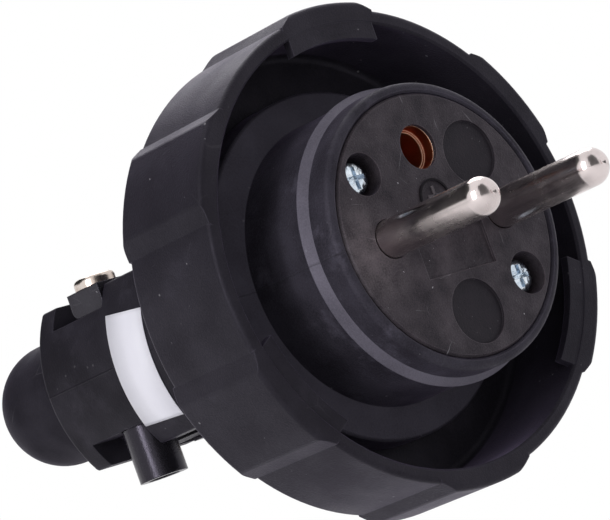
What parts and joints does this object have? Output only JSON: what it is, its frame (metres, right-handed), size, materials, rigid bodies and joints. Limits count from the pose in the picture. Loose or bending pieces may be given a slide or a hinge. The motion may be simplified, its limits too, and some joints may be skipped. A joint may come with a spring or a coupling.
{
  "type": "rubber mains plug with bayonet locking ring",
  "caption": "Round rubber mains plug with contact pins, an earth socket, a turning bayonet locking ring with grips, a windowed neck with a screwed cord clamp and a closed cord bush.",
  "frame": {"origin": "on the contact face, midway between the two pins", "axes": "-Y along the pins, +Z towards the earth socket, +X from the left pin to the right pin as seen from the front"},
  "size_m": [0.0606, 0.108, 0.0626],
  "materials": {
    "ring_plastic": "matt black moulding",
    "body_rubber": "matt black rubber",
    "carrier_moulding": "brownish black moulding",
    "pin_nickel": "bright nickel plate on brass",
    "earth_copper": "bare copper",
    "screw_zinc": "bluish zinc plate",
    "insert_brass": "turned brass",
    "saddle_plastic": "black moulding with a slight gloss",
    "clamp_screw_nickel": "nickel plate",
    "bush_rubber": "matt black rubber"
  },
  "bodies": {
    "plug": {"plug_body": "body_rubber", "contact_carrier": "carrier_moulding", "live_pin": "pin_nickel", "neutral_pin": "pin_nickel", "earth_contact": "earth_copper", "live_terminal_screw": "screw_zinc", "neutral_terminal_screw": "screw_zinc", "earth_terminal_screw": "screw_zinc", "carrier_screws": "screw_zinc", "carrier_inserts": "insert_brass", "upper_saddle": "saddle_plastic", "lower_saddle": "saddle_plastic", "clamp_screws": "clamp_screw_nickel", "clamp_inserts": "insert_brass", "cord_bush": "bush_rubber"},
    "ring": {"locking_ring": "ring_plastic"}
  },
  "joints": [
    {"name": "ring_turn", "type": "hinge", "parent": "plug", "child": "ring", "pos_m": [0, 0.0159, 0], "axis": [0, 1, 0], "continuous": true}
  ]
}
